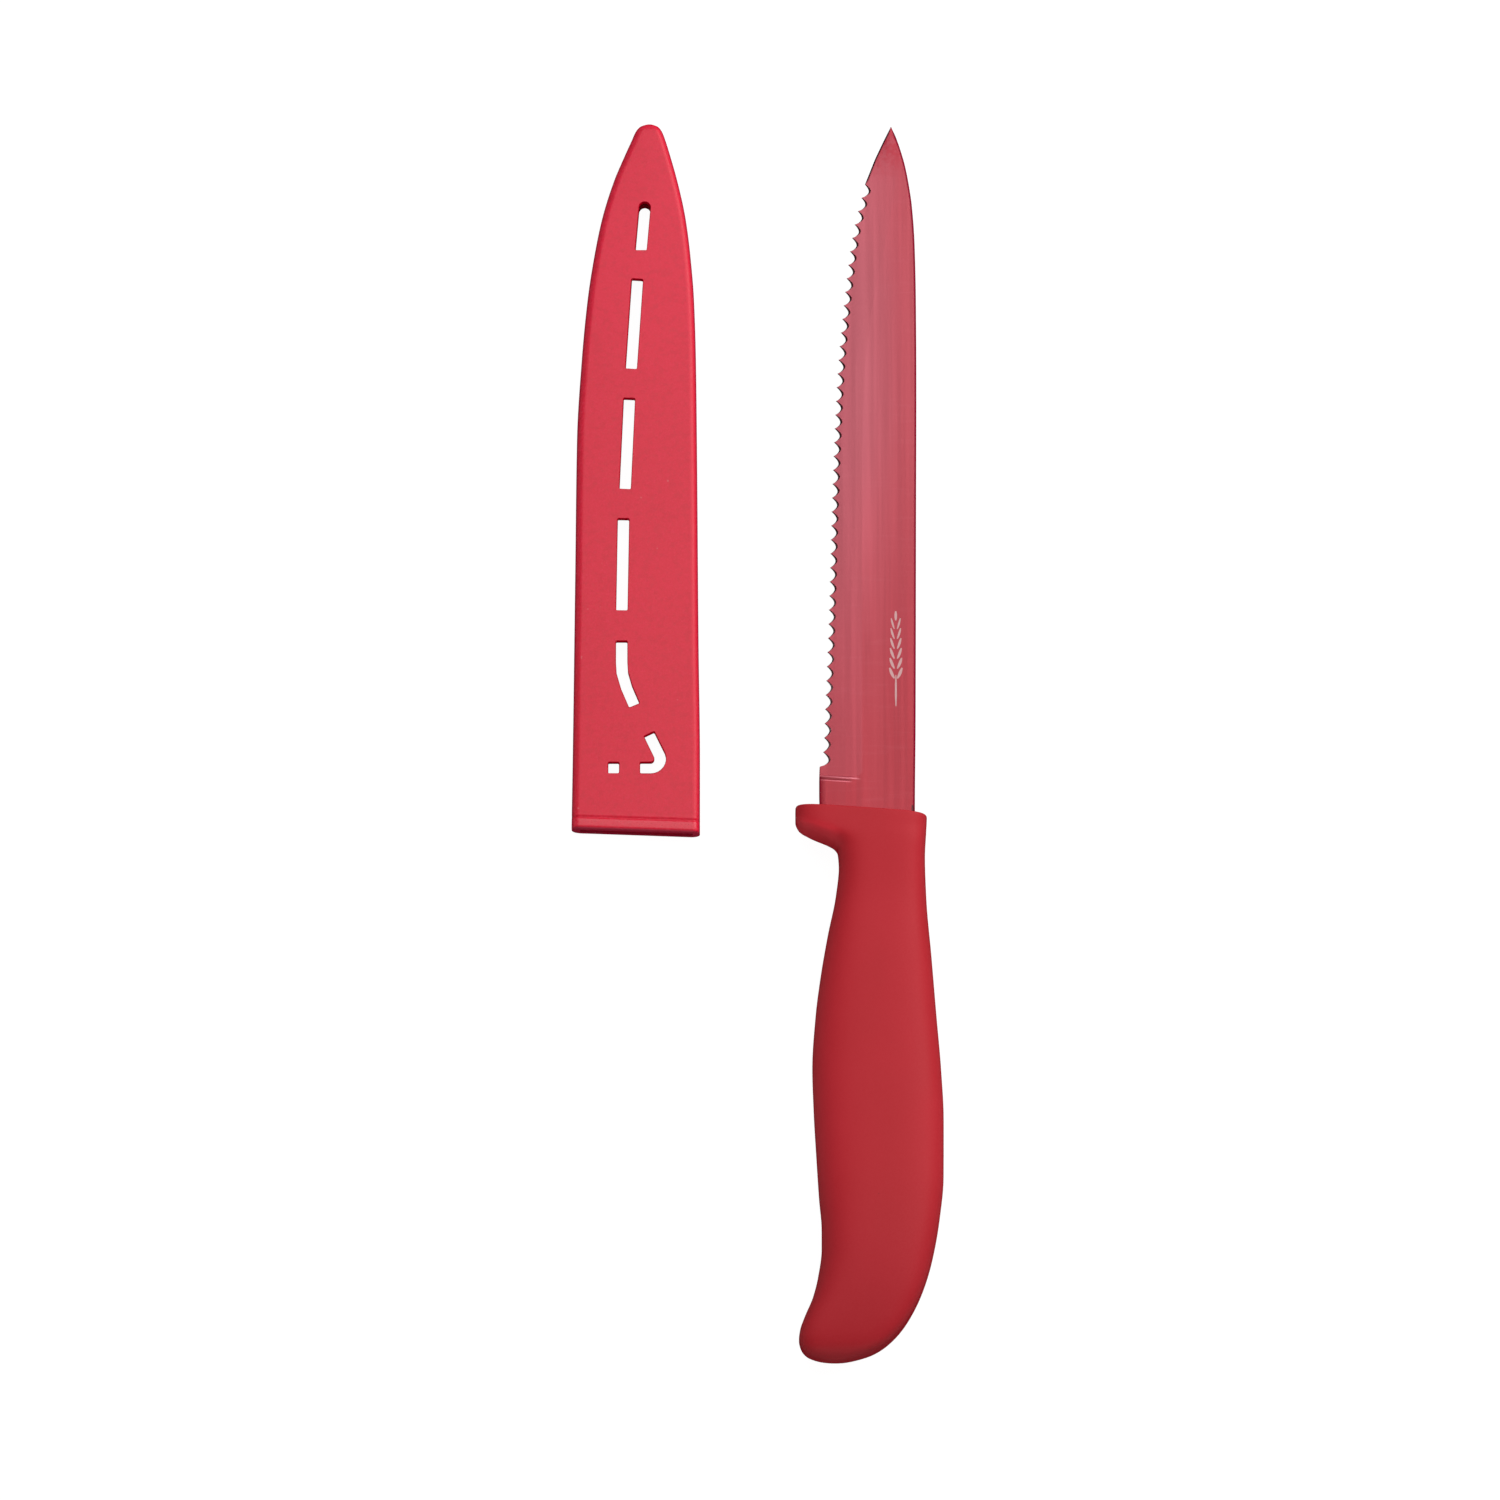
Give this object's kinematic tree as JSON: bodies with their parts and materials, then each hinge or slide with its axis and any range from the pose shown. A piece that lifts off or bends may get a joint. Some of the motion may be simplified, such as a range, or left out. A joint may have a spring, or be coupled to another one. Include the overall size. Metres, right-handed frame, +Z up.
{
  "type": "bread knife",
  "caption": "Short serrated bread knife with a colour-coated steel blade, a moulded handle with a finger guard, and a windowed slide-on sheath lying beside it.",
  "frame": {"origin": "on the table, under the middle of the box round the knife and the sheath lying side by side", "axes": "+X from the sheath towards the knife, +Y along the blade from butt to point, +Z up from the table; knife and sheath lie on their sides"},
  "size_m": [0.073, 0.2503, 0.016],
  "materials": {
    "coated_steel": "satin red resin coating over brushed steel, bare at the serrations",
    "soft_handle": "matte, soft-touch moulded plastic",
    "sheath_plastic": "satin, fine spark-grain moulded polypropylene"
  },
  "bodies": {
    "knife": {"blade": "coated_steel", "handle": "soft_handle"},
    "sheath": {"sheath": "sheath_plastic"}
  },
  "joints": [
    {"name": "sheath_slide", "type": "slide", "parent": "knife", "child": "sheath", "axis": [0.227, 0.9736, 0.0253], "range_m": [0, 0.20543]}
  ]
}
